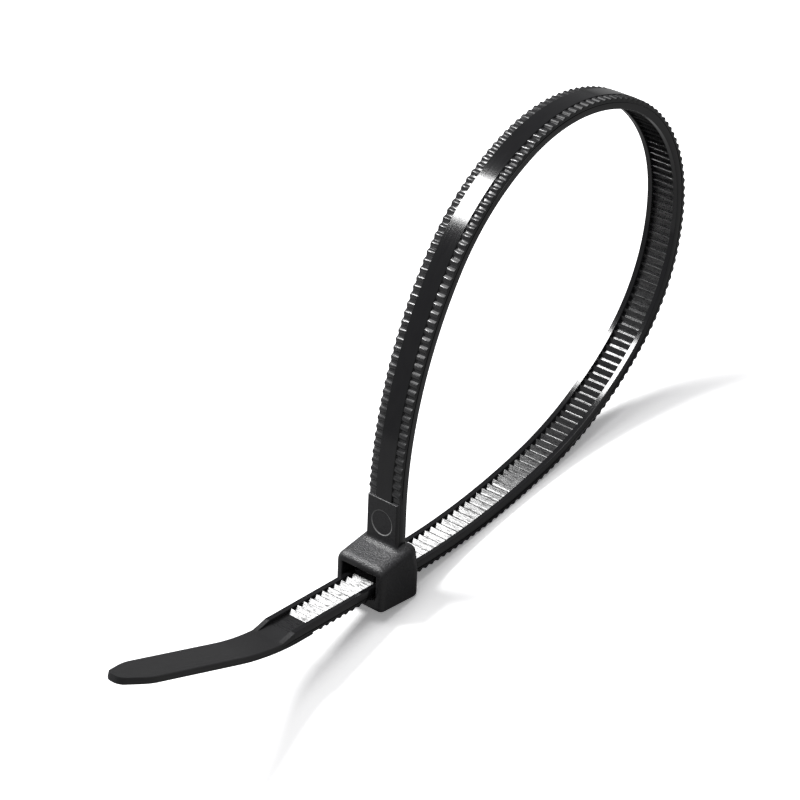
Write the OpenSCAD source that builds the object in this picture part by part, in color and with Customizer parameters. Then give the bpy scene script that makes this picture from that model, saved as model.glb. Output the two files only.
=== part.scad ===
// Self-locking nylon cable tie, closed into a loop that stands by itself.
// It rests on the rear lower edge of its head and on the underside of the strap.
// X runs from the tail, through the head, to the far end of the loop. Y is across the
// width of the strap. Z is up. The origin is the middle of the part's bottom.

/* [Strap] */
// Width of the strap
strap_w = 4.8; // [3.8:0.1:7]
// Thickness from the rail tops to the face of the centre band
strap_t = 1.35; // [1.2:0.05:1.8]
// Width of the toothed channel between the two rails
channel_w = 3.36; // [2.6:0.02:3.6]
// Width of the raised centre band on the outer face
band_w = 2.5; // [1.5:0.05:3]
// Height of the parting groove in each side face
groove_h = 0.14; // [0.08:0.01:0.24]
// Depth of the parting groove
groove_d = 0.07; // [0.03:0.01:0.15]

/* [Ratchet teeth] */
// Distance from one tooth to the next
tooth_pitch = 1.06; // [0.9:0.02:1.5]
// Height of a tooth above the channel floor
tooth_h = 0.5; // [0.3:0.01:0.6]
// Length of bare floor in front of each locking face
tooth_floor = 0.28; // [0.16:0.01:0.4]
// Depth of the crests below the rail tops
crest_drop = 0.07; // [0.02:0.01:0.2]
// Plain inner face between the root block and the channel
tooth_lead = 2; // [1:0.5:10]

/* [Grip ribs] */
// Distance from one rib to the next
rib_pitch = 1.07; // [0.9:0.02:1.5]
// Height of a rib above the floor of its row
rib_h = 0.3; // [0.15:0.01:0.4]
// Length of a rib at its foot
rib_foot = 0.5; // [0.3:0.01:0.7]
// Length of a rib at its top
rib_top = 0.2; // [0.08:0.01:0.3]
// Depth of the rib tops below the centre band
rib_drop = 0.03; // [0:0.01:0.1]

/* [Loop] */
// Radius of the tightest bend, at the far end of the loop
loop_r = 18.3; // [13:0.1:34]
// Slope of the strap on its way down through the slot, in degrees
slot_lean = 3; // [1:0.5:4]

/* [Tail] */
// Straight run from the middle of the slot to the bend of the tail
tail_run = 16.9; // [12:0.1:60]
// Angle through which the tail curls up
tail_curl = 17; // [1:1:40]
// Radius of the curl
tail_curl_r = 33; // [20:1:80]
// Straight run from the curl to the tip
tail_end = 17.7; // [12:0.1:40]
// Length of the flat tail without rails
tail_flat = 25; // [14:0.5:36]
// Thickness of the flat tail
tail_t = 0.95; // [0.8:0.05:1.2]
// Length over which the rails run out into the flat tail
rail_ramp = 2.2; // [0.8:0.1:5]
// Bare channel floor between the last tooth and the ramps
bare_floor = 3; // [1:0.1:8]
// Length of the tapered tip
tip_len = 3.8; // [2:0.1:8]
// Width of the tip between its rounded corners' tangents
tip_w = 2.2; // [1.6:0.1:3.4]
// Radius of the tip's corners
tip_r = 0.8; // [0.2:0.05:0.8]
// Radius where the taper starts
tip_shoulder = 2.5; // [0.5:0.5:4]

/* [Head] */
// Length of the head along the slot
head_d = 7.2; // [6:0.1:10]
// Width of the head
head_w = 7.6; // [6.8:0.1:11]
// Height of the slot at its mouth
slot_h = 3.3; // [2.9:0.05:4]
// Height of the slot where the strap enters, behind the pawl
entry_h = 2.2; // [1.95:0.05:2.6]
// Play on each side of the strap in the slot
slot_play = 0.3; // [0.15:0.05:0.5]
// Play under the strap at the mouth
floor_play = 0.1; // [0.05:0.01:0.3]
// Wall under the slot
base_wall = 1.45; // [0.8:0.05:2.5]
// Wall over the slot at its mouth
roof_wall = 0.9; // [0.8:0.05:2]
// Slope of the roof up to the root, in degrees
roof_lean = 15; // [0:1:20]
// Radius of the upright and the upper edges
head_r = 0.9; // [0.4:0.05:1.2]
// Radius of the back shoulder
shoulder_r = 1.4; // [0.6:0.1:2]
// Radius of the lower edges
base_r = 0.5; // [0.2:0.05:0.8]
// Chamfer round the rim of the mouth
rim = 0.22; // [0.1:0.01:0.3]

/* [Root] */
// Distance of the root from the middle of the head, towards the loop
root_x = 1.18; // [0.6:0.02:1.5]
// Length of the plain block between the roof and the first ribs
block_len = 5.9; // [4.4:0.1:10]
// How far the block stands proud of the centre band
block_proud = 0.12; // [0.05:0.01:0.3]
// Chamfer along the block's outer edges
block_chamfer = 0.28; // [0.1:0.01:0.4]
// Radius of the fillet where the block meets the roof
root_fillet = 0.55; // [0.2:0.05:0.8]
// Diameter of the round ejector mark on the block
mark_dia = 3.2; // [1.5:0.1:3.6]
// Depth of the ejector mark
mark_depth = 0.07; // [0.03:0.01:0.12]
// Height of the mark's centre above the roof
mark_rise = 2.8; // [2.3:0.05:4]

/* [Pawl] */
// Gap between the pawl and the strap's teeth
pawl_gap = 0.07; // [0.04:0.01:0.12]
// Number of pawl teeth in the strap's teeth
pawl_teeth = 3; // [2:1:3]
// Gap between the pawl and each rail
pawl_side = 0.18; // [0.1:0.02:0.4]
// Thickness of the pawl above the tooth crests
pawl_t = 0.75; // [0.5:0.05:1]
// Thickness of the living hinge
hinge_t = 0.5; // [0.3:0.05:0.8]
// Distance of the pawl's free end from the mouth, at least
pawl_inset = 0.8; // [0.4:0.1:1.2]
// Distance of the hinge from the back of the head
hinge_inset = 1.7; // [1.4:0.1:2.2]

/* [Hidden] */
nylon = "#1c1c1d";
// Longest straight side used on a smooth bend
side_len = 1.1;
// Longest straight side of the parting grooves
groove_side = 2.4;
// Sides in each rounded corner
corner_sides = 6;
// Overlap of shapes that fuse
bite = 0.15;
// Shapes that cut run this far past what they cut
past = 1;
// The outline that shapes the tip starts this far outside the strap
tip_clear = 0.02;

// Levels across the thickness, from the middle of the strap: plus is the outer face
band_level = strap_t / 2;
rail_level = -strap_t / 2;
crest_level = rail_level + crest_drop;
floor_level = crest_level + tooth_h;
rib_level = band_level - rib_drop;
row_level = rib_level - rib_h;
core_level = (floor_level + row_level) / 2;
tail_level = band_level - tail_t;

// Head: the middle of the strap passes through its middle, at [0, 0]
half_strap = strap_w / 2;
half_channel = channel_w / 2;
half_head = head_w / 2;
half_slot = half_strap + slot_play;
slot_base = -(strap_t / 2 + head_d / 2 * tan(slot_lean) + floor_play);
base_y = slot_base - base_wall;
mouth_top = slot_base + slot_h;
entry_top = slot_base + entry_h;
front_x = -head_d / 2;
back_x = head_d / 2;
roof_front = mouth_top + roof_wall;
pocket_x = back_x - hinge_inset;
function roof_y(x) = roof_front + (x - front_x) * tan(roof_lean);

// Root block, upright on the roof and square to the head
block_out = root_x - strap_t / 2 - block_proud;
block_in = root_x + strap_t / 2;
block_base = roof_y(block_out);
block_top = block_base + block_len;

// Bends of the loop: each one's share of the turn, and its radius as a multiple of loop_r
BENDS = [[31.4, 3.04], [32.2, 1.68], [44.1, 1.22], [66.2, 1], [49.1, 1.34], [27.6, 2.3], [16.4, 4.68]];
turn_share = (270 - slot_lean) / ([for (b = BENDS) 1] * [for (b = BENDS) b[0]]);
ARCS = [for (b = BENDS) [b[0] * turn_share * PI / 180 * b[1] * loop_r, b[1] * loop_r]];

// A place on the strap is [x, y, heading, distance from the roof]. A run is its length
// and its radius, where 0 stands for a straight run.
function go(at, len, r) =
    r == 0
        ? [at[0] + len * cos(at[2]), at[1] + len * sin(at[2]), at[2], at[3] + len]
        : let (to = at[2] - len / r * 180 / PI)
            [at[0] + r * (sin(at[2]) - sin(to)), at[1] - r * (cos(at[2]) - cos(to)), to, at[3] + len];
function go_all(at, runs, i = 0) =
    i == len(runs) ? [at] : concat([at], go_all(go(at, runs[i][0], runs[i][1]), runs, i + 1));

// The two straight runs that close the loop: up from the roof, and down into the slot
root_place = [root_x, block_base, 90, 0];
bent = go_all(root_place, ARCS)[len(ARCS)];
slot_run = bent[0] / cos(slot_lean);
root_run = slot_run * sin(slot_lean) - bent[1];
RUNS = concat(
    [[root_run, 0]], ARCS, [[slot_run + tail_run, 0]],
    [[tail_curl * PI / 180 * tail_curl_r, tail_curl_r], [tail_end, 0]]
);
STARTS = go_all(root_place, RUNS);
slot_s = STARTS[len(ARCS) + 1][3] + slot_run;
tip_s = STARTS[len(RUNS)][3];

function place(s) =
    let (i = max([for (j = [0 : len(RUNS) - 1]) if (j == 0 || s >= STARTS[j][3]) j]))
        go(STARTS[i], s - STARTS[i][3], RUNS[i][1]);
// The point at distance s along the strap and level n across its thickness
function on(s, n) = let (p = place(s)) [p[0] - n * sin(p[2]), p[1] + n * cos(p[2])];
// A smooth line at level n, in straight sides of at most the given length
function line(s0, s1, n, side = side_len) =
    let (k = ceil(abs(s1 - s0) / side)) [for (i = [0 : k]) [s0 + (s1 - s0) * i / k, n]];

// Distances along the strap
channel_s = block_len + tooth_lead;
cut_s = tip_s + past;
flat_s = tip_s - tail_flat;
ramp_s = flat_s - rail_ramp;
teeth_end = ramp_s - bare_floor;
tooth_ramp = tooth_pitch - tooth_floor;
tooth_n = floor((teeth_end - channel_s) / tooth_pitch);
rib_n = floor((teeth_end - block_len) / rib_pitch) - 1;
function crest_s(k) = teeth_end - tooth_ramp - k * tooth_pitch;
function rib_s(k) = block_len + rib_pitch * (k + 1);

// Inner outline of the strap from the tail to the root, along the rails
RAIL_LINE = concat(line(cut_s, flat_s, tail_level), line(ramp_s, block_len, rail_level));
// Outer outline from the root to the tail, over the ribs
RIB_LINE = concat(
    [[block_len, row_level]],
    [
        for (k = [0 : rib_n - 1]) each [
            [rib_s(k) - rib_foot / 2, row_level],
            [rib_s(k) - rib_top / 2, rib_level],
            [rib_s(k) + rib_top / 2, rib_level],
            [rib_s(k) + rib_foot / 2, row_level]
        ]
    ],
    [[teeth_end, row_level]],
    line(teeth_end, cut_s, band_level)
);
// Floor of the channel from the tail to the root. Each tooth is a ramp that faces the
// tail and a steep locking face that faces the root, with bare floor below it.
TOOTH_LINE = concat(
    [[flat_s, tail_level]],
    line(ramp_s, teeth_end, floor_level),
    [
        for (k = [0 : tooth_n - 1]) each [
            [crest_s(k) + tooth_ramp, floor_level],
            [crest_s(k), crest_level],
            [crest_s(k), floor_level]
        ]
    ],
    [[channel_s, floor_level]]
);

// Where the loop stands: a line under the head's rear lower edge and under the strap
heel = [back_x - base_r, base_y + base_r];
function rest_angle(p) = atan2(p[1] - heel[1], p[0] - heel[0]) + asin(base_r / norm(p - heel));
BAND_POINTS = [for (p = line(block_len, tip_s, band_level)) on(p[0], p[1])];
stand = min([for (p = BAND_POINTS) if (p[0] > back_x + loop_r / 2) rest_angle(p)]);
function stood(p) = [p[0] * cos(stand) + p[1] * sin(stand), p[1] * cos(stand) - p[0] * sin(stand)];
reach = [for (p = BAND_POINTS) stood(p)[0]];
mid_x = (max(reach) + min(reach)) / 2;
low_y = stood(heel)[1] - base_r;

function unit(v) = v / norm(v);
// The corner p, between its neighbours a and b, rounded to radius r
function rounded_corner(a, p, b, r) =
    let (
        to_a = unit(a - p),
        to_b = unit(b - p),
        half = acos(to_a * to_b) / 2,
        c = p + unit(to_a + to_b) * r / sin(half),
        from = p + to_a * r / tan(half) - c,
        to = p + to_b * r / tan(half) - c,
        start = atan2(from[1], from[0]),
        raw = atan2(to[1], to[0]) - start,
        sweep = raw > 180 ? raw - 360 : raw < -180 ? raw + 360 : raw
    )
        [for (k = [0 : corner_sides]) let (t = start + sweep * k / corner_sides) c + r * [cos(t), sin(t)]];
// A convex outline, each corner rounded to its own radius, where 0 leaves it sharp
function rounded(points, radii) =
    let (n = len(points)) [
        for (i = [0 : n - 1])
            each radii[i] == 0
                ? [points[i]]
                : rounded_corner(points[(i + n - 1) % n], points[i], points[(i + 1) % n], radii[i])
    ];
// A hollow quarter round: out from a wall by f at its foot, and up the wall by f
function hollow(f) = [
    for (k = [0 : corner_sides]) let (t = 90 * k / corner_sides) [f - f * sin(t), f - f * cos(t)]
];

// A stretch of strap: an outline in distance and level, from width w0 to width w1
module stretch(outline, w0, w1) {
    translate([0, 0, w0])
        linear_extrude(w1 - w0)
            polygon([for (p = outline) on(p[0], p[1])]);
}

// Rails, web and ribs, with the centre band laid over the ribs
module strap_body() {
    stretch(concat(RAIL_LINE, RIB_LINE), -half_strap, half_strap);
    stretch(
        concat(line(teeth_end, block_len, core_level), line(block_len, teeth_end, band_level)),
        -band_w / 2, band_w / 2
    );
}

// Channel between the rails, over the teeth
module toothed_channel() {
    stretch(
        concat(TOOTH_LINE, line(channel_s, flat_s, rail_level - past)),
        -half_channel, half_channel
    );
}

// Parting groove in the side face at w, halfway up the web
module parting_groove(w) {
    stretch(
        concat(
            line(flat_s, block_len, core_level - groove_h / 2, groove_side),
            line(block_len, flat_s, core_level + groove_h / 2, groove_side)
        ),
        w - groove_d, w + groove_d
    );
}

// What lies outside the tapered tip, seen from above
module around_tip() {
    tip = place(tip_s);
    start = -tip_len - tip_shoulder;
    side = half_strap + tip_clear;
    translate([tip[0], tip[1], 0])
        rotate([0, 0, tip[2]])
            rotate([-90, 0, 0])
                linear_extrude(4 * strap_t, center = true)
                    difference() {
                        translate([start, -strap_w])
                            square([2 * past - start, 2 * strap_w]);
                        polygon(rounded(
                            [
                                [start - past, side], [start - past, -side],
                                [-tip_len, -side], [0, -tip_w / 2],
                                [0, tip_w / 2], [-tip_len, side]
                            ],
                            [0, 0, tip_shoulder, tip_r, tip_r, tip_shoulder]
                        ));
                    }
}

module strap() {
    difference() {
        strap_body();
        toothed_channel();
        parting_groove(half_strap);
        parting_groove(-half_strap);
        around_tip();
    }
}

// Outer form of the head: four prisms, each of which rounds its own edges
module head_form() {
    high = roof_y(back_x);
    intersection() {
        translate([0, 0, -half_head])
            linear_extrude(head_w)
                polygon(rounded(
                    [[front_x, base_y], [back_x, base_y], [back_x, high], [front_x, roof_front]],
                    [base_r, base_r, shoulder_r, head_r]
                ));
        translate([0, high + past, 0])
            rotate([90, 0, 0])
                linear_extrude(high - base_y + 2 * past)
                    polygon(rounded(
                        [[front_x, -half_head], [back_x, -half_head], [back_x, half_head], [front_x, half_head]],
                        [head_r, head_r, head_r, head_r]
                    ));
        along_roof()
            polygon(rounded(
                [[-half_head, -2 * head_d], [half_head, -2 * head_d], [half_head, 0], [-half_head, 0]],
                [0, 0, head_r, head_r]
            ));
        translate([front_x - past, 0, 0])
            rotate([0, 90, 0])
                linear_extrude(head_d + 2 * past)
                    polygon(rounded(
                        [[-half_head, base_y], [half_head, base_y], [half_head, high + past], [-half_head, high + past]],
                        [base_r, base_r, 0, 0]
                    ));
    }
}

// A shape drawn across the width, up from the roof, run along the whole roof
module along_roof() {
    translate([front_x, roof_front, 0])
        rotate([0, 0, roof_lean])
            rotate([0, 90, 0])
                translate([0, 0, -head_d])
                    linear_extrude(3 * head_d)
                        children();
}

// The slot: low where the strap comes in, high from the pawl's pocket to the mouth
module slot() {
    translate([0, 0, -half_slot])
        linear_extrude(2 * half_slot)
            polygon([
                [front_x - past, slot_base], [back_x + past, slot_base], [back_x + past, entry_top],
                [pocket_x, entry_top], [pocket_x, mouth_top], [front_x - past, mouth_top]
            ]);
    // Chamfered rim of the mouth
    intersection() {
        translate([0, 0, -head_w])
            linear_extrude(2 * head_w)
                mouth_flare(slot_base, mouth_top);
        translate([0, head_d, 0])
            rotate([90, 0, 0])
                linear_extrude(2 * head_d)
                    mouth_flare(-half_slot, half_slot);
    }
}

// A section of the mouth between two of its walls, which flare at the rim
module mouth_flare(low, high) {
    polygon([
        [front_x + rim, low], [front_x - past, low - rim - past],
        [front_x - past, high + rim + past], [front_x + rim, high]
    ]);
}

// Pawl: a tongue on a living hinge, with teeth that lock against the strap's teeth
module pawl() {
    first = ceil((teeth_end - tooth_ramp - slot_s - back_x + pawl_inset) / tooth_pitch);
    tip = crest_s(first) - pawl_gap;
    under = crest_level - pawl_gap;
    top = crest_level - pawl_t;
    translate([0, 0, pawl_side - half_channel])
        linear_extrude(2 * (half_channel - pawl_side))
            polygon(concat(
                [
                    [pocket_x + bite, entry_top], [pocket_x + bite, entry_top + hinge_t],
                    [pocket_x, entry_top + hinge_t],
                    on(tip - tooth_pitch, top), on(tip, top + tooth_h / 2)
                ],
                [
                    for (k = [0 : pawl_teeth - 1]) each let (s = tip - k * tooth_pitch) [
                        on(s, under),
                        on(s, floor_level - pawl_gap),
                        on(s - tooth_floor + pawl_gap, floor_level - pawl_gap),
                        on(s - tooth_pitch + 2 * pawl_gap, under)
                    ]
                ]
            ));
}

// Foot of the block, which flares out onto the roof all round
module root_foot() {
    flare = hollow(root_fillet);
    last = len(flare) - 1;
    intersection() {
        translate([0, 0, -half_head])
            linear_extrude(head_w)
                polygon(concat(
                    [[block_in + root_fillet, mouth_top + bite], [block_out - root_fillet, mouth_top + bite]],
                    [for (p = flare) let (x = block_out - p[0]) [x, roof_y(x) + p[1]]],
                    [for (i = [last : -1 : 0]) let (p = flare[i], x = block_in + p[0]) [x, roof_y(x) + p[1]]]
                ));
        along_roof()
            polygon(concat(
                [[half_strap + root_fillet, -head_d], [-half_strap - root_fillet, -head_d]],
                [for (p = flare) [-half_strap - p[0], p[1]]],
                [for (i = [last : -1 : 0]) [half_strap + flare[i][0], flare[i][1]]]
            ));
    }
}

// Plain block at the root, with chamfered outer edges and a round ejector mark
module root_block() {
    difference() {
        translate([0, block_top, 0])
            rotate([90, 0, 0])
                linear_extrude(block_top - mouth_top - bite)
                    polygon([
                        [block_in, -half_strap], [block_in, half_strap],
                        [block_out + block_chamfer, half_strap], [block_out, half_strap - block_chamfer],
                        [block_out, block_chamfer - half_strap], [block_out + block_chamfer, -half_strap]
                    ]);
        translate([block_out, block_base + mark_rise, 0])
            rotate([0, 90, 0])
                cylinder(d = mark_dia, h = 2 * mark_depth, center = true, $fn = 48);
    }
}

module head() {
    difference() {
        head_form();
        slot();
    }
    root_foot();
    root_block();
    pawl();
}

module cable_tie() {
    color(nylon)
        rotate([90, 0, 0])
            translate([-mid_x, -low_y, 0])
                rotate([0, 0, -stand]) {
                    strap();
                    head();
                }
}

cable_tie();
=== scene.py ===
import math

import bpy
import numpy as np
from mathutils import Matrix, Vector


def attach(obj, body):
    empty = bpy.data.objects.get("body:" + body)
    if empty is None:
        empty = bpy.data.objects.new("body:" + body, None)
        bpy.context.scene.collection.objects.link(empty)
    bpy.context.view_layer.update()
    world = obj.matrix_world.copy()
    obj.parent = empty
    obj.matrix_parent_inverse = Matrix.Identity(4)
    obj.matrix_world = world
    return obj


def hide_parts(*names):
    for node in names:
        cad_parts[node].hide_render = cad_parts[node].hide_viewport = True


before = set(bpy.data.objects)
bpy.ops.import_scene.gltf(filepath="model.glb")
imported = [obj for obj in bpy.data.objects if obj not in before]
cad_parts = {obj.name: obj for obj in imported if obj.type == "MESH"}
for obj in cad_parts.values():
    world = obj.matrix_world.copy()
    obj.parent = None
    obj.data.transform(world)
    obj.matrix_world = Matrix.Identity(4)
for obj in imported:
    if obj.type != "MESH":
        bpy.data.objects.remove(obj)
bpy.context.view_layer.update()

MM = 0.001

# Sizes, in millimetres and degrees. They are those of the part's source, apart from some that
# follow the photograph more closely: the strap is thicker towards its inner face, its teeth and
# ribs are lower, its tail curls sooner, and the head is a little shorter with rounder edges.

# Strap
STRAP_T = 1.35
INWARD = 0.22
HALF_STRAP = 2.4
HALF_CHANNEL = 1.68
HALF_BAND = 1.25
EDGE = 0.07
GROOVE_H = 0.14
GROOVE_D = 0.07
GROOVE_FLANK = 0.03
GROOVE_START = 0.2
GROOVE_END = 0.6

# Teeth, and the chamfer of the rails along them
TOOTH_PITCH = 1.06
TOOTH_H = 0.42
TOOTH_FLOOR = 0.4
TOOTH_RAMP = TOOTH_PITCH - TOOTH_FLOOR
TOOTH_LEAD = 2.0
CREST_DROP = 0.07
# From the locking face on: how far along, and how far below the crest's level
CREST_SHAPE = ((0.03, 0.016), (0.075, 0.045))
CREST_LIP = 0.055
CHANNEL_LIP_W = 0.04
CHANNEL_LIP_H = 0.05

# Ribs. A flank is a row of facets of one length, with these slopes from the foot up.
RIB_PITCH = 1.07
RIB_TOP = 0.08
RIB_DROP = 0.03
RIB_STEP = 0.12
RIB_SLOPES = (41, 31, 21)
RIB_EDGE = 0.05
ROW_DEPTH = 0.215  # of the bare ends of each row

# Centre band: its upper edge, and the crease at its foot
BAND_EDGE_W = 0.055
BAND_EDGE_H = 0.06
BAND_FOOT_W = 0.035
BAND_FOOT_H = 0.03
BAND_STEP = 0.07

# Loop: each bend's share of the turn, and its radius as a multiple of LOOP_R
LOOP_R = 18.3
SLOT_LEAN = 3.0
BENDS = ((31.4, 3.04), (32.2, 1.68), (44.1, 1.22), (66.2, 1.0), (49.1, 1.34), (27.6, 2.3), (16.4, 4.68))

# Tail
TAIL_T = 0.88
TAIL_RUN = 15.6
TAIL_CURL = 17.0
TAIL_CURL_R = 33.0
TAIL_END = 18.4
TAIL_FLAT = 25.0
TAIL_EDGE = 0.2
TAIL_EDGE_RUN = 3.0
RAIL_RAMP = 2.2
BARE_FLOOR = 3.0
TIP_LEN = 3.8
TIP_HALF = 1.1
TIP_R = 0.8
TIP_SHOULDER = 1.2

# Head
HEAD_HALF_D = 3.6
HEAD_HALF_W = 3.8
FRONT = -3.35
BACK = 3.52
SLOT_H = 3.25
ENTRY_H = 2.3
SLOT_PLAY = 0.3
FLOOR_PLAY = 0.1
BASE_WALL = 1.45
ROOF_WALL = 1.08
ROOF_LEAN = 13.5
FRONT_R = 0.7
BACK_R = 1.1
ROOF_R = 1.3
SHOULDER_R = 2.0
SHOULDER_LOW = 1.5  # height at which the back edges start to grow from BACK_R to SHOULDER_R
SHOULDER_RISE = 2.5
UPRIGHT_BLEND = 0.3  # share of the depth before the middle at which FRONT_R starts to grow to BACK_R
BASE_R = 0.5
RIM = 0.1
SLOT_EDGE = 0.05

# Root block
ROOT_X = 1.18
BLOCK_LEN = 5.9
BLOCK_PROUD = 0.12
BLOCK_CHAMFER = 0.1
BLOCK_SIDE_PLAY = 0.012
BLOCK_INSET = 0.3
BLOCK_SUNK = 0.3
BLOCK_EDGE = 0.04
CHAMFER_EDGE = 0.05
BLOCK_TOP_EDGE = 0.06
BURIED = 0.25  # the strap is this much thinner inside the block
FRONT_FILLET = 0.7
BACK_FILLET = 0.25
FILLET_DEPTH = 0.3  # how far into the block the front fillet goes
MARK_R = 1.6
MARK_DEPTH = 0.07
MARK_RISE = 2.8
MARK_EDGE = 0.02

# Pawl
PAWL_GAP = 0.07
PAWL_TEETH = 3
PAWL_SIDE = 0.18
PAWL_T = 0.75
PAWL_INSET = 0.8
PAWL_BITE = 0.15
HINGE_T = 0.5
HINGE_INSET = 1.7

# Sizes of the solid that differ from those above. The strap still leaves the solid's roof, and
# the tie stands as the solid does.
SOLID_SLOT_H = 3.3
SOLID_ROOF_WALL = 0.9
SOLID_ROOF_LEAN = 15
SOLID_TAIL_RUN = 16.9
SOLID_TAIL_END = 17.7
SOLID_SIDE = 1.1  # longest straight side of its bends

# Levels across the thickness, from the middle of the strap: plus is the outer face
BAND_LEVEL = STRAP_T / 2
RAIL_LEVEL = -STRAP_T / 2 - INWARD
CREST_LEVEL = RAIL_LEVEL + CREST_DROP
FLOOR_LEVEL = CREST_LEVEL + TOOTH_H
RIB_LEVEL = BAND_LEVEL - RIB_DROP
ROW_LEVEL = RIB_LEVEL - ROW_DEPTH
CORE_LEVEL = (FLOOR_LEVEL + ROW_LEVEL) / 2
TAIL_LEVEL = BAND_LEVEL - TAIL_T

# Places on the head, from its middle, where the strap passes through
SLOT_BASE = -(BAND_LEVEL + HEAD_HALF_D * math.tan(math.radians(SLOT_LEAN)) + FLOOR_PLAY)
BASE_Y = SLOT_BASE - BASE_WALL
MOUTH_TOP = SLOT_BASE + SLOT_H
ENTRY_TOP = SLOT_BASE + ENTRY_H
ROOF_FRONT = MOUTH_TOP + ROOF_WALL
POCKET_X = HEAD_HALF_D - HINGE_INSET
BLOCK_OUT = ROOT_X - STRAP_T / 2 - BLOCK_PROUD
BLOCK_IN = ROOT_X - RAIL_LEVEL
SOLID_ROOF_FRONT = SLOT_BASE + SOLID_SLOT_H + SOLID_ROOF_WALL
BLOCK_BASE = SOLID_ROOF_FRONT + (BLOCK_OUT + HEAD_HALF_D) * math.tan(math.radians(SOLID_ROOF_LEAN))
BLOCK_TOP = BLOCK_BASE + BLOCK_LEN
MARK_Y = BLOCK_BASE + MARK_RISE

# The strap's middle line. A place on it is (x, y, heading, distance from the roof), and a run
# is (length, radius), where radius 0 is straight.


def go(at, length, radius):
    x, y, heading, s = at
    h = math.radians(heading)
    if radius == 0:
        return (x + length * math.cos(h), y + length * math.sin(h), heading, s + length)
    to = h - length / radius
    return (
        x + radius * (math.sin(h) - math.sin(to)),
        y - radius * (math.cos(h) - math.cos(to)),
        math.degrees(to),
        s + length,
    )


def go_all(at, runs):
    places = [at]
    for run in runs:
        places.append(go(places[-1], *run))
    return places


class MiddleLine:
    def __init__(self, start, runs):
        self.runs = runs
        self.starts = go_all(start, runs)
        self.tip = self.starts[-1][3]

    def place(self, s):
        """(x, y, heading) at distances s, one row each."""
        distances = [start[3] for start in self.starts[:-1]]
        places = []
        for value in s:
            i = max(0, int(np.searchsorted(distances, value, side="right")) - 1)
            places.append(go(self.starts[i], value - distances[i], self.runs[i][1])[:3])
        return np.array(places)

    def on(self, s, n):
        """The points at distances s and levels n across the strap's thickness."""
        x, y, heading = self.place(s).T
        h = np.radians(heading)
        return np.stack([x - n * np.sin(h), y + n * np.cos(h)], axis=1)


ROOT = (ROOT_X, BLOCK_BASE, 90.0, 0.0)
TURN_SHARE = (270 - SLOT_LEAN) / sum(share for share, _ in BENDS)
ARCS = [(math.radians(share * TURN_SHARE) * r * LOOP_R, r * LOOP_R) for share, r in BENDS]
BENT = go_all(ROOT, ARCS)[-1]
# The two straight runs that close the loop: down into the slot, and up from the roof
SLOT_RUN = BENT[0] / math.cos(math.radians(SLOT_LEAN))
ROOT_RUN = SLOT_RUN * math.sin(math.radians(SLOT_LEAN)) - BENT[1]


def strap_line(tail_run, tail_end):
    curl = (math.radians(TAIL_CURL) * TAIL_CURL_R, TAIL_CURL_R)
    return MiddleLine(ROOT, [(ROOT_RUN, 0)] + ARCS + [(SLOT_RUN + tail_run, 0), curl, (tail_end, 0)])


STRAP = strap_line(TAIL_RUN, TAIL_END)
SOLID = strap_line(SOLID_TAIL_RUN, SOLID_TAIL_END)

# Distances along the strap
TIP_S = STRAP.tip
FLAT_S = TIP_S - TAIL_FLAT
RAMP_S = FLAT_S - RAIL_RAMP
TEETH_END = RAMP_S - BARE_FLOOR
CHANNEL_S = BLOCK_LEN + TOOTH_LEAD
SLOT_S = STRAP.starts[len(ARCS) + 1][3] + SLOT_RUN
TOOTH_N = int((TEETH_END - CHANNEL_S) / TOOTH_PITCH)
RIB_N = int((TEETH_END - BLOCK_LEN) / RIB_PITCH) - 1


def crest_s(k):
    return TEETH_END - TOOTH_RAMP - k * TOOTH_PITCH


# How the tie stands, as the part's source works it out: a line under the head's rear lower
# edge and under the strap is level

HEEL = (HEAD_HALF_D - BASE_R, BASE_Y + BASE_R)


def rest_angle(point):
    x, y = point[0] - HEEL[0], point[1] - HEEL[1]
    return math.atan2(y, x) + math.asin(BASE_R / math.hypot(x, y))


def band_points():
    sides = math.ceil((SOLID.tip - BLOCK_LEN) / SOLID_SIDE)
    return SOLID.on(np.linspace(BLOCK_LEN, SOLID.tip, sides + 1), BAND_LEVEL)


BAND_POINTS = band_points()
STAND = min(rest_angle(point) for point in BAND_POINTS if point[0] > HEAD_HALF_D + LOOP_R / 2)


def turned(x, y):
    c, s = math.cos(STAND), math.sin(STAND)
    return x * c + y * s, y * c - x * s


REACH = turned(*BAND_POINTS.T)[0]
MID_X = (REACH.max() + REACH.min()) / 2
LOW_Y = turned(*HEEL)[1] - BASE_R


def stood(points):
    """Points of the tie's own frame, in millimetres, in the frame that it stands in, in metres."""
    points = np.atleast_2d(np.asarray(points, float))
    x, y = turned(points[:, 0], points[:, 1])
    return np.stack([x - MID_X, -points[:, 2], y - LOW_Y], axis=1) * MM


def stood_direction(v):
    x, y = turned(v[0], v[1])
    return Vector((x, -v[2], y))


# Objects


def add_object(name, data):
    thing = bpy.data.objects.new(name, data)
    bpy.context.scene.collection.objects.link(thing)
    return thing


def add_piece(name, points, faces, materials, slots=0, smooth=True, sharp=None, own=None):
    """A piece of the tie. Slots and smooth are one value, or one for each face."""
    mesh = bpy.data.meshes.new(name)
    mesh.from_pydata(stood(points).tolist(), [], [list(face) for face in faces])
    for material in materials:
        mesh.materials.append(material)
    count = len(mesh.polygons)
    mesh.polygons.foreach_set("material_index", np.full(count, slots, dtype=np.int32))
    mesh.polygons.foreach_set("use_smooth", np.full(count, smooth))
    if own is not None:
        layer = mesh.attributes.new("along", "FLOAT_VECTOR", "POINT")
        layer.data.foreach_set("vector", np.asarray(own, dtype=np.float32).ravel())
    mesh.update()
    if sharp is not None:
        mesh.set_sharp_from_angle(angle=math.radians(sharp))
    piece = add_object(name, mesh)
    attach(piece, "root")
    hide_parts("cable_tie")


# Materials


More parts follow.
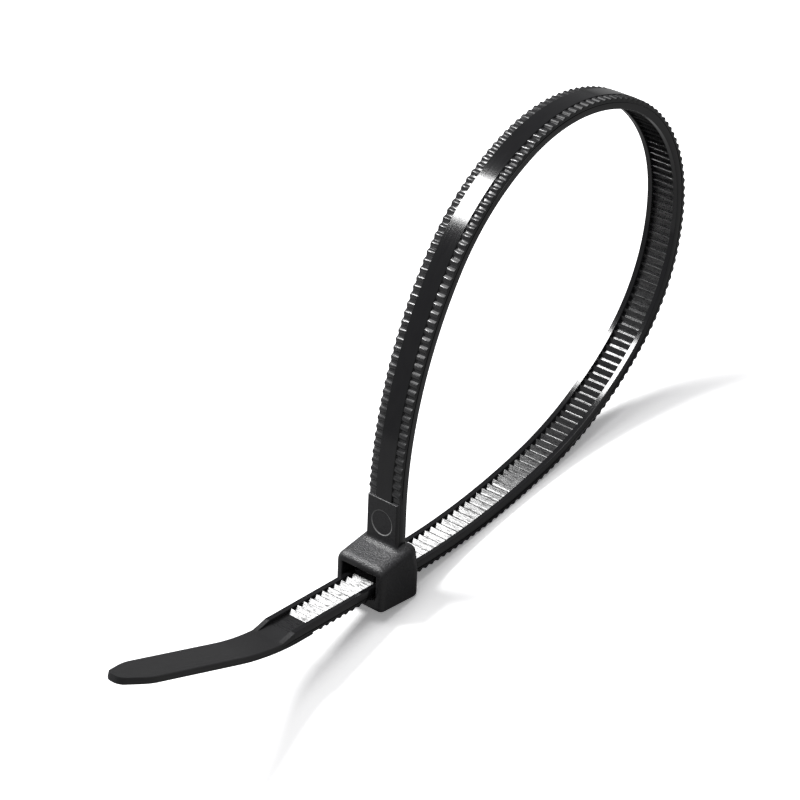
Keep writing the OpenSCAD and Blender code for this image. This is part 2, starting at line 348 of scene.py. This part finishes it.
class Graph:
    """The nodes of a material or a world."""

    def __init__(self, owner):
        owner.use_nodes = True
        self.nodes = owner.node_tree.nodes
        self.links = owner.node_tree.links

    def feed(self, socket, value):
        """Links a socket to another node's output, or sets its value."""
        if isinstance(value, bpy.types.NodeSocket):
            self.links.new(value, socket)
        else:
            socket.default_value = value

    def add(self, kind, output, inputs, **settings):
        """Adds a node and returns one of its outputs."""
        node = self.nodes.new("ShaderNode" + kind)
        for name, value in settings.items():
            setattr(node, name, value)
        for socket, value in inputs.items():
            self.feed(node.inputs[socket], value)
        return node.outputs[output]

    def mix(self, share, first, second):
        """A colour between two, each a colour or an output."""
        ends = [(*end, 1) if isinstance(end, tuple) else end for end in (first, second)]
        return self.add("Mix", "Result", {"Factor": share, "A": ends[0], "B": ends[1]}, data_type="RGBA")

    def math(self, operation, first, second=0.0):
        return self.add("Math", "Value", {0: first, 1: second}, operation=operation)

    def camera_ray(self):
        return self.add("LightPath", "Is Camera Ray", {})


class Nylon(Graph):
    """Black moulded nylon."""

    IOR = 1.53
    SPECULAR = "Specular IOR Level"

    def __init__(self, name, specular=0.5):
        self.material = bpy.data.materials.new(name)
        super().__init__(self.material)
        self.sockets = self.nodes["Principled BSDF"].inputs
        self.set("IOR", self.IOR)
        self.set(self.SPECULAR, specular)

    def set(self, socket, value):
        self.feed(self.sockets[socket], value)

    def along(self, scale=(1.0, 1.0, 1.0)):
        """The strap's own coordinates, in millimetres: along it, across it and through it."""
        start = self.add("Attribute", "Vector", {}, attribute_name="along")
        return self.add("Mapping", "Vector", {"Vector": start, "Scale": scale})

    def place(self):
        """The object's coordinates, in metres."""
        return self.add("TexCoord", "Object", {})

    def noise(self, vector, scale, detail=2.0, rough=0.5):
        inputs = {"Vector": vector, "Scale": scale, "Detail": detail, "Roughness": rough}
        return self.add("TexNoise", "Fac", inputs)

    def ramp(self, value, low, high, to_low=0.0, to_high=1.0):
        inputs = {"Value": value, "From Min": low, "From Max": high, "To Min": to_low, "To Max": to_high}
        return self.add("MapRange", "Result", inputs)

    def bump(self, *layers):
        """Layers of (height, strength, distance in metres), from the lowest up."""
        normal = None
        for height, strength, distance in layers:
            inputs = {"Height": height, "Strength": strength, "Distance": distance}
            if normal is not None:
                inputs["Normal"] = normal
            normal = self.add("Bump", "Normal", inputs)
        self.set("Normal", normal)


def make_gloss():
    """Polished steel of the mould: rails and centre band, with faint draw lines along the strap."""
    m = Nylon("nylon_gloss")
    streaks = m.noise(m.along((0.05, 6.0, 1.0)), 4.0, 3.0)
    cloud = m.noise(m.along((0.4, 1.0, 1.0)), 1.2)
    m.set("Roughness", m.ramp(streaks, 0.3, 0.7, 0.1, 0.17))
    m.bump((streaks, 0.1, 0.00001), (cloud, 0.15, 0.00002))
    m.set("Base Color", m.mix(cloud, (0.006, 0.006, 0.007), (0.012, 0.012, 0.013)))
    return m.material


def make_teeth():
    """Eroded steel: the channel's teeth, sandy, with marks across the strap that shine."""
    m = Nylon("nylon_teeth")
    grain = m.noise(m.along(), 7.0, 3.0, 0.6)
    lines = m.noise(m.along((1.0, 0.12, 1.0)), 7.0, 3.0, 0.7)
    m.set("Roughness", m.ramp(grain, 0.3, 0.7, 0.22, 0.36))
    m.set(m.SPECULAR, m.ramp(lines, 0.36, 0.5, 0.2, 0.9))
    m.bump((grain, 0.4, 0.00002), (lines, 0.4, 0.00002))
    m.set("Base Color", m.mix(grain, (0.010, 0.010, 0.011), (0.018, 0.018, 0.019)))
    return m.material


def make_ribs():
    """Grip ribs: a fine, even grain."""
    m = Nylon("nylon_ribs", specular=1.0)
    grain = m.noise(m.along(), 6.0, 3.0, 0.6)
    m.set("Roughness", m.ramp(grain, 0.3, 0.7, 0.24, 0.32))
    m.bump((grain, 0.2, 0.00001))
    m.set("Base Color", m.mix(grain, (0.010, 0.010, 0.011), (0.015, 0.015, 0.016)))
    return m.material


def make_tail():
    """Flat tail: fine draw lines along it."""
    m = Nylon("nylon_tail")
    lines = m.noise(m.along((0.12, 7.0, 1.0)), 3.0, 4.0, 0.65)
    cloud = m.noise(m.along(), 2.5, 3.0)
    m.set("Roughness", m.ramp(lines, 0.3, 0.7, 0.36, 0.5))
    m.bump((lines, 0.5, 0.00003), (cloud, 0.3, 0.00005))
    m.set("Base Color", m.mix(lines, (0.012, 0.012, 0.013), (0.022, 0.022, 0.023)))
    return m.material


def painted_ring_highlight(m):
    """A mask of the thin ring round the ejector mark, where a painted highlight goes: a pale colour in
    place of the light that catches the mark's rim.
    """
    inner, outer = 0.00003, 0.00008
    centre = tuple(stood([[BLOCK_OUT, MARK_Y, 0]])[0])
    away = m.add("VectorMath", "Value", {0: m.place(), 1: centre}, operation="DISTANCE")
    off = m.math("ABSOLUTE", m.math("SUBTRACT", away, MARK_R * MM))
    return m.ramp(off, inner, outer, 1.0, 0.0)


def make_head():
    """Sandblasted steel: the head, the block and the pawl. The grain is strong on the faces that look
    up, and faint elsewhere. Its pale specks are painted glints of the light from above, painted much
    paler on the faces that look up."""
    m = Nylon("nylon_head")
    grain = m.noise(m.place(), 4500.0, 3.0, 0.7)
    cloud = m.noise(m.place(), 900.0)
    facing = m.add("NewGeometry", "Normal", {})
    upward = m.ramp(m.add("SeparateXYZ", "Z", {"Vector": facing}), 0.45, 0.8)
    m.set("Roughness", m.ramp(grain, 0.3, 0.7, 0.26, 0.42))
    m.set(m.SPECULAR, m.ramp(upward, 0.0, 1.0, 0.4, 1.0))
    m.bump((m.math("MULTIPLY", grain, upward), 1.0, 0.0001), (cloud, 0.2, 0.00005))
    # Painted glints: the grain's specks get a pale base colour, strongest on faces that look up, where
    # the light from above falls. The grain pattern itself is the real sandblasted texture.
    painted_glint_specks = m.math("MULTIPLY", m.ramp(grain, 0.35, 0.7), m.ramp(upward, 0.0, 1.0, 0.25, 1.0))
    sand_and_painted_glints = m.mix(painted_glint_specks, (0.014, 0.014, 0.015), (0.085, 0.085, 0.09))
    # The ring round the ejector mark is a painted highlight: pale grey base colour where light would
    # catch its rim
    m.set("Base Color", m.mix(painted_ring_highlight(m), sand_and_painted_glints, (0.28, 0.28, 0.28)))
    return m.material


STRAP_MATERIALS = [make_gloss(), make_teeth(), make_ribs(), make_tail()]
GLOSS, TEETH, RIBS, TAIL = range(4)
HEAD_MATERIALS = [make_head()]

# Strap: rings of points lofted along it, with a ring at each corner of a tooth or rib

STEEP = 0.006  # half the length that a steep face is given, so that it is never folded
CLOSEST = 0.003  # least distance between two rings
RING_STEP = 0.45  # distance between rings where the strap is plain
FLAT_TURN = 1.0  # rings are closer this far round the place where the rails run out
TIP_RINGS = 12
TURN_RINGS = 9
TOOTH_HOLD = 0.02  # a column this far from the teeth's ends keeps their shading crisp
HOLD = 0.01  # and one this far from the other edges
ROUND = 0.3  # where a rounded edge has its middle point, as a share of its width


def tooth_profile():
    """(distance, level) along the middle of the channel."""
    points = [(CHANNEL_S - STEEP, RAIL_LEVEL), (CHANNEL_S + STEEP, FLOOR_LEVEL)]
    for k in range(TOOTH_N - 1, -1, -1):
        c = crest_s(k)
        points += [(c - TOOTH_FLOOR, FLOOR_LEVEL), (c - STEEP, FLOOR_LEVEL)]
        points += [(c + STEEP, CREST_LEVEL + CREST_LIP)]
        points += [(c + along, CREST_LEVEL + below) for along, below in CREST_SHAPE]
    points += [(TEETH_END, FLOOR_LEVEL), (RAMP_S, FLOOR_LEVEL), (FLAT_S, TAIL_LEVEL)]
    return np.array(points)


def rib_profile():
    """(distance, level) along a row of ribs."""
    rises = [RIB_STEP * math.tan(math.radians(slope)) for slope in RIB_SLOPES]
    outs = [RIB_TOP / 2 + RIB_STEP * k for k in range(len(rises), -1, -1)]
    levels = [RIB_LEVEL - sum(rises[k:]) for k in range(len(rises) + 1)]
    flank = list(zip(outs, levels))
    points = [(BLOCK_LEN, BAND_LEVEL - BURIED), (BLOCK_LEN + STEEP, ROW_LEVEL)]
    for k in range(RIB_N):
        c = BLOCK_LEN + RIB_PITCH * (k + 1)
        points += [(c - out, level) for out, level in flank]
        points += [(c + out, level) for out, level in reversed(flank)]
    points += [(TEETH_END - STEEP, ROW_LEVEL), (TEETH_END + STEEP, BAND_LEVEL)]
    return np.array(points)


def tip_half(s):
    """Half the tail's width, which tapers to a rounded tip."""
    t = s - (TIP_S - TIP_LEN)
    slope = (HALF_STRAP - TIP_HALF) / TIP_LEN
    half = np.where(t <= 0, HALF_STRAP, HALF_STRAP - slope * t)
    shoulder = HALF_STRAP - slope * (t + TIP_SHOULDER) ** 2 / (4 * TIP_SHOULDER)
    half = np.where(np.abs(t) < TIP_SHOULDER, shoulder, half)
    back = np.clip(s - (TIP_S - TIP_R), 0, TIP_R)
    return half - (TIP_R - np.sqrt(np.maximum(TIP_R**2 - back**2, 0)))


def ring_places(teeth, ribs):
    """The distances along the strap that get a ring."""
    s = np.concatenate([
        teeth[:, 0],
        ribs[:, 0],
        np.arange(0, BLOCK_LEN, RING_STEP),
        np.arange(TEETH_END, TIP_S, RING_STEP),
        TIP_S - TIP_R + TIP_R * np.sin(np.radians(np.linspace(0, 90, TIP_RINGS))),
        FLAT_S + np.linspace(-FLAT_TURN, FLAT_TURN, TURN_RINGS),
        TIP_S - TIP_LEN + np.linspace(-TIP_SHOULDER, TIP_SHOULDER, TURN_RINGS),
    ])
    s = np.unique(np.round(s, 4))
    return s[np.concatenate([[True], np.diff(s) > CLOSEST])]


def half_section(s, teeth, ribs):
    """Half the strap's section at distances s, from the middle of the channel round to the
    middle of the band: half width, level, and the surface up to the next column."""
    tooth = np.interp(s, *teeth.T)
    row = np.interp(s, *ribs.T)
    rail = np.interp(s, [RAMP_S, FLAT_S], [RAIL_LEVEL, TAIL_LEVEL])
    core = np.interp(s, [RAMP_S, FLAT_S], [CORE_LEVEL, (TAIL_LEVEL + BAND_LEVEL) / 2])
    edge = np.interp(s, [RAMP_S, FLAT_S + TAIL_EDGE_RUN], [EDGE, TAIL_EDGE])
    outer_edge = RIB_EDGE + edge - EDGE
    band = np.where(s < BLOCK_LEN, BAND_LEVEL - BURIED, BAND_LEVEL)
    ribbed = (s >= BLOCK_LEN) & (s < TEETH_END)
    crease = np.where(ribbed, np.minimum(row + BAND_FOOT_H, band - BAND_STEP), band)
    band_edge = np.where(ribbed, band - BAND_EDGE_H, band)
    groove_ends = [BLOCK_LEN, BLOCK_LEN + GROOVE_START, FLAT_S - GROOVE_END, FLAT_S]
    groove = HALF_STRAP - GROOVE_D * np.interp(s, groove_ends, [0, 1, 1, 0])
    groove_out = GROOVE_H / 2 + HOLD
    groove_in = groove_out - GROOVE_FLANK
    return [
        (0, tooth, TEETH),
        (HALF_CHANNEL - TOOTH_HOLD, tooth, TEETH),
        (HALF_CHANNEL, tooth, TEETH),
        (HALF_CHANNEL, np.minimum(tooth, rail + CHANNEL_LIP_H), GLOSS),
        (HALF_CHANNEL + CHANNEL_LIP_W, rail, GLOSS),
        (HALF_CHANNEL + CHANNEL_LIP_W + HOLD, rail, GLOSS),
        (HALF_STRAP - edge - HOLD, rail, GLOSS),
        (HALF_STRAP - edge, rail, GLOSS),
        (HALF_STRAP - edge * ROUND, rail + edge * ROUND, GLOSS),
        (HALF_STRAP, rail + edge, GLOSS),
        (HALF_STRAP, core - groove_out, GLOSS),
        (groove, core - groove_in, GLOSS),
        (groove, core + groove_in, GLOSS),
        (HALF_STRAP, core + groove_out, GLOSS),
        (HALF_STRAP, row - outer_edge, RIBS),
        (HALF_STRAP - outer_edge * ROUND, row - outer_edge * ROUND, RIBS),
        (HALF_STRAP - outer_edge, row, RIBS),
        (HALF_BAND + BAND_FOOT_W, row, RIBS),
        (HALF_BAND, crease, RIBS),
        (HALF_BAND, band_edge, GLOSS),
        (HALF_BAND - BAND_EDGE_W, band, GLOSS),
        (HALF_BAND - BAND_EDGE_W - HOLD, band, GLOSS),
        (0, band, GLOSS),
    ]


def full_section(half):
    """The half section and its mirror image, as (side, half width, level, surface)."""
    ring = [(1, *column) for column in half]
    for column, before in zip(half[-2:0:-1], half[-3::-1]):
        ring.append((-1, column[0], column[1], before[2]))
    return ring


def build_strap():
    teeth, ribs = tooth_profile(), rib_profile()
    s = ring_places(teeth, ribs)
    ring = full_section(half_section(s, teeth, ribs))
    x, y, heading = STRAP.place(s).T
    h = np.radians(heading)
    narrow = tip_half(s) / HALF_STRAP
    rings, columns = len(s), len(ring)
    points = np.zeros((rings, columns, 3))
    own = np.zeros((rings, columns, 3))
    for c, (side, width, level, _) in enumerate(ring):
        z = side * width * narrow
        points[:, c] = np.stack([x - level * np.sin(h), y + level * np.cos(h), z], axis=1)
        own[:, c] = np.stack([s, z, np.full(rings, level)], axis=1)
    faces, slots = [], []
    for i in range(rings - 1):
        for c in range(columns):
            at, after = i * columns, (i + 1) * columns
            d = (c + 1) % columns
            faces.append((at + c, after + c, after + d, at + d))
            slots.append(TAIL if s[i] >= RAMP_S else ring[c][3])
    faces += [tuple(range(columns)), tuple(range(rings * columns - 1, (rings - 1) * columns - 1, -1))]
    slots += [GLOSS, TAIL]
    # The teeth and ribs are plain facets
    smooth = np.isin(slots, (GLOSS, TAIL))
    own = own.reshape(-1, 3)
    add_piece("strap", points.reshape(-1, 3), faces, STRAP_MATERIALS, slots, smooth, 38, own)


# Head and root block: one rounded form, given by its distance field


def round_both(a, b, r):
    """The part that is inside both, with its edges rounded to r."""
    return np.minimum(np.maximum(a, b), -r) + np.hypot(np.maximum(a + r, 0), np.maximum(b + r, 0))


def round_either(a, b, r):
    """What is inside either, with a fillet of r where they meet."""
    return np.maximum(np.minimum(a, b), r) - np.hypot(np.maximum(r - a, 0), np.maximum(r - b, 0))


def box_field(x, y, z):
    """The head without its slot. Its upper edges are sharp in front and rounder behind."""
    lean = math.radians(ROOF_LEAN)
    roof = (y - ROOF_FRONT - (x - FRONT) * math.tan(lean)) * math.cos(lean)
    side = np.abs(z) - HEAD_HALF_W
    top = round_both(side, roof, ROOF_R)
    shoulder_r = BACK_R + (SHOULDER_R - BACK_R) * np.clip((y - SHOULDER_LOW) / SHOULDER_RISE, 0, 1)
    form = np.maximum(round_both(FRONT - x, top, FRONT_R), round_both(x - BACK, top, shoulder_r))
    upright_r = FRONT_R + (BACK_R - FRONT_R) * np.clip(x / BACK + UPRIGHT_BLEND, 0, 1)
    form = np.maximum(form, round_both(np.maximum(FRONT - x, x - BACK), side, upright_r))
    return round_both(form, BASE_Y - y, BASE_R)


def block_field(x, y, z):
    """The root block, with chamfered outer edges and the ejector mark."""
    side = np.abs(z) - (HALF_STRAP - BLOCK_SIDE_PLAY)
    form = round_both(np.maximum(BLOCK_OUT - x, x - BLOCK_IN + BLOCK_INSET), side, BLOCK_EDGE)
    chamfer = (side + BLOCK_OUT - x + BLOCK_CHAMFER) * math.sqrt(0.5)
    form = round_both(form, chamfer, CHAMFER_EDGE)
    form = round_both(form, y - BLOCK_TOP, BLOCK_TOP_EDGE)
    form = np.maximum(form, MOUTH_TOP + BLOCK_SUNK - y)
    mark = np.maximum(np.hypot(y - MARK_Y, z) - MARK_R, x - BLOCK_OUT - MARK_DEPTH)
    return round_both(form, -mark, MARK_EDGE)


def slot_field(x, y, z):
    """The slot, lower behind the pocket and flared at its mouth."""
    flare = np.maximum(RIM + FRONT - x, 0)
    top = np.where(x < POCKET_X, MOUTH_TOP, ENTRY_TOP)
    tall = np.maximum(SLOT_BASE - flare - y, y - top - flare)
    return np.maximum(tall, np.abs(z) - HALF_STRAP - SLOT_PLAY - flare)


def head_field(x, y, z):
    fillet = np.where(x < BLOCK_OUT + FILLET_DEPTH, FRONT_FILLET, BACK_FILLET)
    form = round_either(box_field(x, y, z), block_field(x, y, z), fillet)
    return round_both(form, -slot_field(x, y, z), SLOT_EDGE)


CORNERS = [(i, j, k) for i in (0, 1) for j in (0, 1) for k in (0, 1)]


def at_corner(a, c):
    """A grid's values at one corner of each of its cells."""
    return a[tuple(slice(i, n - 1 + i) for i, n in zip(c, a.shape))]


def crossings(f, mixed):
    """Where the surface crosses each mixed cell's edges, on average, in steps from its corner."""
    total, hits = np.zeros((mixed.sum(), 3)), np.zeros(mixed.sum())
    for c in CORNERS:
        for axis in range(3):
            if c[axis]:
                continue
            d = tuple(1 if i == axis else v for i, v in enumerate(c))
            fa, fb = at_corner(f, c)[mixed], at_corner(f, d)[mixed]
            cross = (fa < 0) != (fb < 0)
            spot = np.tile(np.array(c, float), (len(fa), 1))
            spot[:, axis] += np.where(cross, fa / np.where(cross, fa - fb, 1), 0)
            total += spot * cross[:, None]
            hits += cross
    return total / hits[:, None]


def settle(field, points, step):
    """Moves points onto the surface, along the field's slope."""
    h = 1e-3
    for _ in range(3):
        sides = [(field(*(points + h * e).T), field(*(points - h * e).T)) for e in np.eye(3)]
        slope = np.stack([(plus - minus) / (2 * h) for plus, minus in sides], axis=1)
        move = (field(*points.T) / np.maximum((slope**2).sum(1), 0.2))[:, None] * slope
        points = points - np.clip(move, -step / 3, step / 3)
    return points


def cell_faces(inside, number):
    """A face round each edge of the grid that the surface crosses, wound to look outwards."""
    faces = []
    for axis in range(3):
        u, v = [i for i in range(3) if i != axis]
        first, second = [slice(None)] * 3, [slice(None)] * 3
        first[axis], second[axis] = slice(0, -1), slice(1, None)
        start = inside[tuple(first)]
        cells = np.argwhere(start != inside[tuple(second)])
        for i in (u, v):
            cells = cells[(cells[:, i] > 0) & (cells[:, i] < inside.shape[i] - 1)]
        eu, ev = np.eye(3, dtype=int)[u], np.eye(3, dtype=int)[v]
        quads = np.stack([number[tuple((cells - q).T)] for q in (eu + ev, ev, 0 * eu, eu)], axis=1)
        outward = start[tuple(cells.T)] != (axis == 1)
        quads[~outward] = quads[~outward][:, ::-1]
        faces.append(quads)
    return np.concatenate(faces)


def surface(field, low, high, step):
    """Points and faces of the surface where the field is 0, one point to a cell that it crosses."""
    axes = [np.arange(a, b + step, step) for a, b in zip(low, high)]
    f = field(*np.meshgrid(*axes, indexing="ij"))
    inside = f < 0
    count = sum(at_corner(inside, c).astype(int) for c in CORNERS)
    mixed = (count > 0) & (count < 8)
    number = np.full(mixed.shape, -1)
    number[mixed] = np.arange(mixed.sum())
    points = np.array(low) + (np.argwhere(mixed) + crossings(f, mixed)) * step
    return settle(field, points, step), cell_faces(inside, number)


GRID_STEP, QUICK_STEP = 0.09, 0.16
# Room round the head. The three differ, so that no flat face lies along the grid.
ROOM_BELOW, ROOM_ABOVE = (0.31, 0.33, 0.29), 0.3


def build_head():
    step = GRID_STEP
    low = [edge - room for edge, room in zip((-HEAD_HALF_D, BASE_Y, -HEAD_HALF_W), ROOM_BELOW)]
    high = [edge + ROOM_ABOVE for edge in (HEAD_HALF_D, BLOCK_TOP, HEAD_HALF_W)]
    points, faces = surface(head_field, low, high, step)
    add_piece("head", points, faces.tolist(), HEAD_MATERIALS, sharp=50)


# Pawl: a prism whose teeth follow the strap's, with its hinge in the head's roof


def build_pawl():
    first = math.ceil((TEETH_END - TOOTH_RAMP - SLOT_S - HEAD_HALF_D + PAWL_INSET) / TOOTH_PITCH)
    tip = crest_s(first) - PAWL_GAP
    low, top, deep = CREST_LEVEL - PAWL_GAP, CREST_LEVEL - PAWL_T, FLOOR_LEVEL - PAWL_GAP
    profile = [(tip - TOOTH_PITCH, top), (tip, top + TOOTH_H / 2)]
    for k in range(PAWL_TEETH):
        s = tip - k * TOOTH_PITCH
        profile += [(s, low), (s, deep), (s - TOOTH_FLOOR + PAWL_GAP, deep)]
        profile += [(s - TOOTH_PITCH + 2 * PAWL_GAP, low)]
    distances, levels = np.array(profile).T
    hinge_top = ENTRY_TOP + HINGE_T
    hinge = [(POCKET_X + PAWL_BITE, ENTRY_TOP), (POCKET_X + PAWL_BITE, hinge_top), (POCKET_X, hinge_top)]
    outline = np.concatenate([hinge, STRAP.on(distances, levels)])
    half = HALF_CHANNEL - PAWL_SIDE
    n = len(outline)
    points = np.concatenate([np.c_[outline, np.full(n, z)] for z in (-half, half)])
    faces = [tuple(range(n - 1, -1, -1)), tuple(range(n, 2 * n))]
    faces += [(i, (i + 1) % n, n + (i + 1) % n, n + i) for i in range(n)]
    add_piece("pawl", points, faces, HEAD_MATERIALS, smooth=False)


build_strap()
build_head()
build_pawl()

# Camera, solved from the photograph in a frame that is level with the slot and has its origin
# at the head's front face

CAMERA_TURN = math.radians(42.54)
CAMERA_RISE = math.radians(29.26)
CAMERA_RIGHT = 5.118
CAMERA_UP = 22.12
CAMERA_BACK = 414.19
FOCAL_MM = 157.5
SENSOR_MM = 36
PHOTO_TURN = math.radians(SLOT_LEAN)
PHOTO_DROP = 0.15
PHOTO_ORIGIN = (HEAD_HALF_D, HEAD_HALF_D * math.tan(PHOTO_TURN) - PHOTO_DROP)


def from_photo(v):
    """A direction of the photograph's frame, turned into the tie's own."""
    c, s = math.cos(PHOTO_TURN), math.sin(PHOTO_TURN)
    return (v[0] * c - v[1] * s, v[0] * s + v[1] * c, v[2])


def make_camera():
    back = np.array([
        -math.cos(CAMERA_RISE) * math.cos(CAMERA_TURN),
        math.sin(CAMERA_RISE),
        math.cos(CAMERA_RISE) * math.sin(CAMERA_TURN),
    ])
    right = np.array([math.sin(CAMERA_TURN), 0, math.cos(CAMERA_TURN)])
    up = np.cross(back, right)
    x, y, z = from_photo(CAMERA_RIGHT * right + CAMERA_UP * up + CAMERA_BACK * back)
    spot = Vector(stood([[x - PHOTO_ORIGIN[0], y - PHOTO_ORIGIN[1], z]])[0])
    data = bpy.data.cameras.new("camera")
    data.sensor_width = SENSOR_MM
    data.lens = FOCAL_MM
    data.clip_start = 0.02
    data.clip_end = 20
    camera = add_object("camera", data)
    turn = Matrix([stood_direction(from_photo(v)) for v in (right, up, back)]).transposed()
    camera.matrix_world = Matrix.Translation(spot) @ turn.to_4x4()
    bpy.context.scene.camera = camera


# Floor, world and lamps, in metres

FLOOR_HALF = 3.0
FLOOR_SEEN = (1.5, 1.5, 1.5)  # white to the camera away from the tie's shadow
FLOOR_REFLECTED = (0.3, 0.3, 0.3)
FLOOR_GLOW = 0.2
WORLD_GREY = (0.22, 0.22, 0.225, 1)
WORLD_WHITE = (1, 1, 1, 1)
TIE_MIDDLE = Vector((0, 0, 0.02))


def make_floor():
    """White to the camera, with the tie's shadow, and darker in the nylon's reflections."""
    mesh = bpy.data.meshes.new("floor")
    r = FLOOR_HALF
    mesh.from_pydata([(-r, -r, 0), (r, -r, 0), (r, r, 0), (-r, r, 0)], [], [(0, 1, 2, 3)])
    material = bpy.data.materials.new("floor")
    g = Graph(material)
    seen = g.camera_ray()
    shade = g.mix(seen, FLOOR_REFLECTED, FLOOR_SEEN)
    plain = g.add("BsdfDiffuse", "BSDF", {"Color": shade})
    glow = g.add("Emission", "Emission", {"Strength": g.math("MULTIPLY", seen, FLOOR_GLOW)})
    both = g.add("AddShader", "Shader", {0: plain, 1: glow})
    g.feed(g.nodes["Material Output"].inputs["Surface"], both)
    mesh.materials.append(material)
    add_object("floor", mesh)


def make_world():
    """White to the camera, and a soft grey light."""
    world = bpy.data.worlds.new("studio")
    g = Graph(world)
    grey = g.add("Background", "Background", {"Color": WORLD_GREY})
    white = g.add("Background", "Background", {"Color": WORLD_WHITE})
    mixed = g.add("MixShader", "Shader", {"Fac": g.camera_ray(), 1: grey, 2: white})
    g.feed(g.nodes["World Output"].inputs["Surface"], mixed)
    bpy.context.scene.world = world


def softbox(name, turn, rise, distance, width, height, radiance):
    """An area lamp that the tie sees at a compass angle and a height, in degrees."""
    data = bpy.data.lights.new(name, "AREA")
    data.shape = "RECTANGLE"
    data.size, data.size_y = width, height
    data.energy = radiance * math.pi * width * height
    a, e = math.radians(turn), math.radians(rise)
    direction = Vector((math.cos(a) * math.cos(e), math.sin(a) * math.cos(e), math.sin(e)))
    lamp = add_object(name, data)
    lamp.location = TIE_MIDDLE + direction * distance
    lamp.rotation_euler = direction.to_track_quat("Z", "Y").to_euler()


make_camera()
bpy.context.scene.view_settings.view_transform = "Standard"
make_floor()
make_world()
softbox("window", turn=104, rise=51.5, distance=1.1, width=0.33, height=0.27, radiance=34)
softbox("overhead", turn=60, rise=84, distance=1.2, width=0.8, height=0.8, radiance=2.4)
